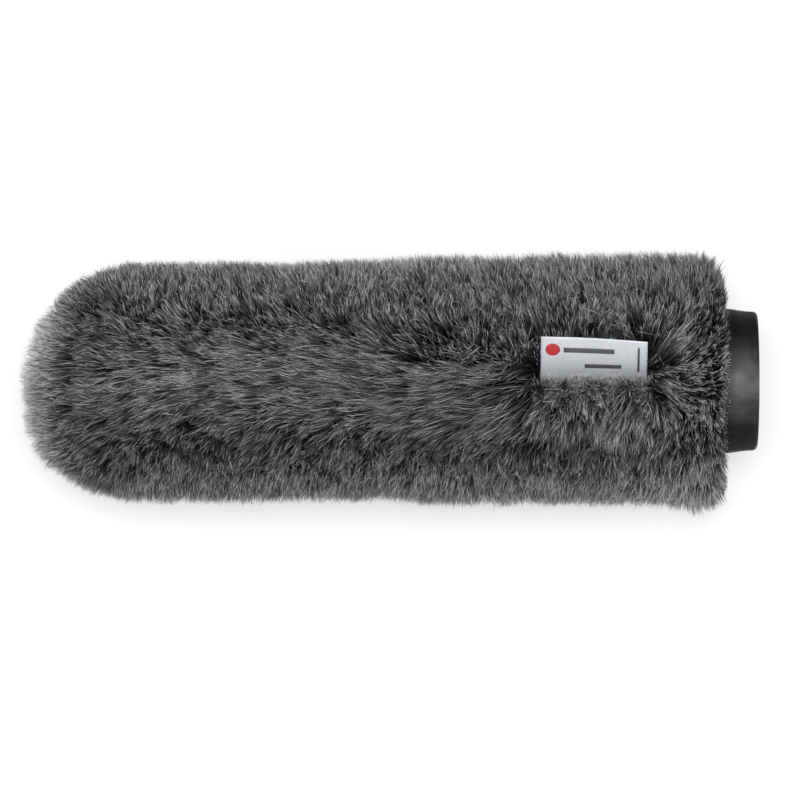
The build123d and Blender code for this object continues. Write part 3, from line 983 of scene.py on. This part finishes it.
def label_ribbon(material):
    """One strip folded at the top, with both ends at the seam."""
    foot = 0.35 * MM
    fold_height = label_height - PLY_GAP
    up = np.linspace(foot, fold_height, 26)
    path = [(height, PLY_GAP) for height in up]
    for turn in np.linspace(0, pi, 7)[1:-1]:
        path.append((fold_height + PLY_GAP * sin(turn), PLY_GAP * cos(turn)))
    path += [(height, -PLY_GAP) for height in up[::-1]]
    across = np.linspace(label_low.x, label_high.x, 48)
    grid = np.array([[label_point(x, height, off) for x in across] for height, off in path])
    return cloth_sheet("label_ribbon", grid, 0.22 * MM, material)


def label_patch(name, outline_rows, material):
    """Raised weave on the label's viewer side. outline_rows are (height, low x, high x)."""
    surface = PLY_GAP + 0.13 * MM
    columns = 10
    grid = [
        [label_point(x, height, surface) for x in np.linspace(low, high, columns)]
        for height, low, high in outline_rows
    ]
    return cloth_sheet(name, np.array(grid), 0.1 * MM, material)


def label_marks(red, grey_weave):
    """A plain disc and plain bars, woven into the label."""
    middle_x, middle_height, radius = label_low.x + 4.7 * MM, 16.4 * MM, 2.9 * MM
    blunt = 0.12
    rows = []
    for turn in np.linspace(blunt, pi - blunt, 15):
        half = radius * sin(turn)
        rows.append((middle_height - radius * cos(turn), middle_x - half, middle_x + half))
    marks = [label_patch("label_disc", rows, red)]
    for number, (start, width, height, tall) in enumerate(LABEL_BARS):
        low = label_low.x + start * MM
        rows = [(h, low, low + width * MM) for h in np.linspace(height, height + tall, 6) * MM]
        marks.append(label_patch(f"label_bar_{number + 1}", rows, grey_weave))
    return marks


# ------------ soft pieces inside
def gathers(vertices):
    """The elastic gathers the hem into small puckers."""
    pucker_count, depth = 64, 0.25 * MM
    x, y, z = vertices.T
    radius = np.hypot(y, z)
    near_hem = ramp(x, hem_low_x - 9 * MM, hem_low_x - 3 * MM)
    near_hem *= ramp(radius, root_radius, root_radius + 1 * MM)
    puckers = 1 + np.sin(pucker_count * np.arctan2(z, y))
    shifted = vertices.copy()
    shifted[:, 1:] *= (1 - depth * near_hem * puckers / radius)[:, None]
    return shifted


def knitted_backing(material):
    """The body panel with its hem folded in round the elastic, and the nose panel."""
    inner = foam_radius + 0.1 * MM
    outer = root_radius
    thickness = outer - inner
    hem_middle = (hem_top + inner) / 2
    fold_outer = hem_top - hem_middle
    fold_inner = fold_outer - thickness
    fold_x = hem_rear_x - fold_outer
    hem_end = fold_x - 5.5 * MM
    outline = nose_arc(inner, seam_turn, pi / 2, 9)
    outline += [(x, inner) for x in np.linspace(nose_x + 2 * MM, fold_x, 60)]
    for turn in np.linspace(-pi / 2, pi / 2, 13)[1:-1]:
        outline.append((fold_x + fold_outer * cos(turn), hem_middle + fold_outer * sin(turn)))
    outline += [(fold_x, hem_top), (hem_end, hem_top), (hem_end, hem_top - thickness)]
    for turn in np.linspace(pi / 2, -pi / 2, 11):
        outline.append((fold_x + fold_inner * cos(turn), hem_middle + fold_inner * sin(turn)))
    outline += [(x, outer) for x in np.linspace(fold_x - 1 * MM, nose_x + 2 * MM, 60)]
    outline += nose_arc(outer, pi / 2, seam_turn, 9)
    body = revolved("knit_body", outline, 256, material, closed=True, shift=gathers)
    outline = nose_arc(outer, 0, seam_turn, 10) + nose_arc(inner, seam_turn, 0, 10)
    return body, revolved("knit_nose", outline, 128, material)


def foam_pieces(material):
    """Foam sleeve round the tube, and the domed foam nose. Their cut faces are a little uneven."""
    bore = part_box("mesh_tube")[1].y + 0.1 * MM
    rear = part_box("boot")[0].x + 10.8 * MM
    step_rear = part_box("foam_sleeve")[1].x
    step = foam_radius - 2.8 * MM
    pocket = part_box("tube_clamp")[1].z + 0.3 * MM
    cap_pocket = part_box("front_cap")[0].x - 0.1 * MM

    def uneven(vertices):
        outside = np.hypot(vertices[:, 1], vertices[:, 2]) > pocket + 1 * MM
        size = 1 - 0.004 * (1 + noise(vertices, 3 * MM, 80))
        shifted = vertices.copy()
        shifted[:, 1:] *= np.where(outside, size, 1)[:, None]
        return shifted

    outline = [(x, foam_radius) for x in np.linspace(nose_x, rear, 90)]
    outline += [(rear, step), (step_rear, step), (step_rear, pocket), (rear, pocket), (rear, bore)]
    outline += [(nose_x, bore)]
    sleeve = revolved("foam_tube", outline, 96, material, closed=True, shift=uneven)
    outline = nose_arc(foam_radius, 0, pi / 2, 24)
    outline += [(nose_x, bore), (cap_pocket, bore), (cap_pocket, 0)]
    return sleeve, revolved("foam_dome", outline, 96, material, shift=uneven)


# ------------ setting
def studio():
    """A pale floor that glows a little, an even pale sky, and one soft lamp overhead."""
    floor_material = new_material("pale_floor", grey(0.5), 0.95, Specular_IOR_Level=0.0)
    glow = shader_inputs(floor_material)
    glow["Emission Color"].default_value = (1.0, 1.0, 1.0, 1)
    glow["Emission Strength"].default_value = 0.475
    half = 30.0
    corners = [(-half, -half, floor_z), (half, -half, floor_z), (half, half, floor_z), (-half, half, floor_z)]
    floor = make_object("floor", corners, [[0, 1, 2, 3]], floor_material, smooth=False)

    world = bpy.data.worlds.new("studio")
    bpy.context.scene.world = world
    world.use_nodes = True
    sky = world.node_tree.nodes["Background"].inputs
    sky["Color"].default_value = (1.0, 1.0, 1.0, 1)
    sky["Strength"].default_value = 0.95

    middle = Vector(((cad_low.x + cad_high.x) / 2, 0, 0))
    data = bpy.data.lights.new("overhead", "AREA")
    data.shape = "RECTANGLE"
    data.size, data.size_y = 0.9, 0.6
    data.energy = 24
    lamp = bpy.data.objects.new("overhead", data)
    bpy.context.scene.collection.objects.link(lamp)
    lamp.location = middle + Vector((0, 0.25, 2.1))
    lamp.rotation_mode = "QUATERNION"
    lamp.rotation_quaternion = (middle - lamp.location).to_track_quat("-Z", "Y")
    bpy.context.scene.view_settings.view_transform = "Standard"


def camera():
    """Straight down from far off, so that the windscreen lies across the picture."""
    data = bpy.data.cameras.new("camera")
    data.lens = 400.0
    data.clip_end = 100.0
    width = 320 * MM  # seen across the picture, at the axis
    made = bpy.data.objects.new("camera", data)
    bpy.context.scene.collection.objects.link(made)
    made.location = (-142.8 * MM, -7.6 * MM, width * data.lens / data.sensor_width)
    bpy.context.scene.camera = made


# ------------ building
camera()
studio()

fur = fur_material()
for piece in grow_fur(fur):
    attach(piece, BODY)

fringe = grow_fringe(fur)
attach(fringe, BODY)
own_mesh(fringe)

for piece, node in zip(undercoats(undercoat_material()), ("fur_pile_body", "fur_pile_nose")):
    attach(piece, BODY)
    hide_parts(node)

knit_body, knit_nose = knitted_backing(knit_material())
for piece, node in ((knit_body, "backing_body"), (knit_nose, "backing_nose")):
    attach(piece, BODY)
    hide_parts(node)

for piece, node in zip(foam_pieces(foam_material()), ("foam_sleeve", "foam_nose")):
    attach(piece, BODY)
    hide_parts(node)

satin = satin_material("label_satin", (0.475, 0.495, 0.525), (0.615, 0.635, 0.672))
ribbon = label_ribbon(satin)
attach(ribbon, LABEL)
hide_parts("label_flap")
red_weave = satin_material("woven_red", (0.35, 0.008, 0.015), (0.55, 0.015, 0.03))
grey_weave = satin_material("woven_grey", (0.05, 0.05, 0.055), (0.09, 0.09, 0.1))
marks = label_marks(red_weave, grey_weave)
for piece in marks:
    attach(piece, LABEL)

thread = thread_material("sewing_thread", (0.012, 0.012, 0.013), (0.05, 0.05, 0.052))
plastic = plastic_material()
cad_materials = {
    "boot": rubber_material(),
    "mesh_tube": plastic,
    "front_cap": plastic,
    "tube_clamp": steel_material(),
    "hem_elastic": thread_material("covered_elastic", grey(0.01), grey(0.03)),
    "label_tail": satin,
    "side_seam_stitches": thread,
    "nose_seam_stitches": thread,
    "hem_stitches": thread,
    "label_stitches": thread,
}
for node, material in cad_materials.items():
    for material_slot in frame["nodes"][node].material_slots:
        material_slot.material = material
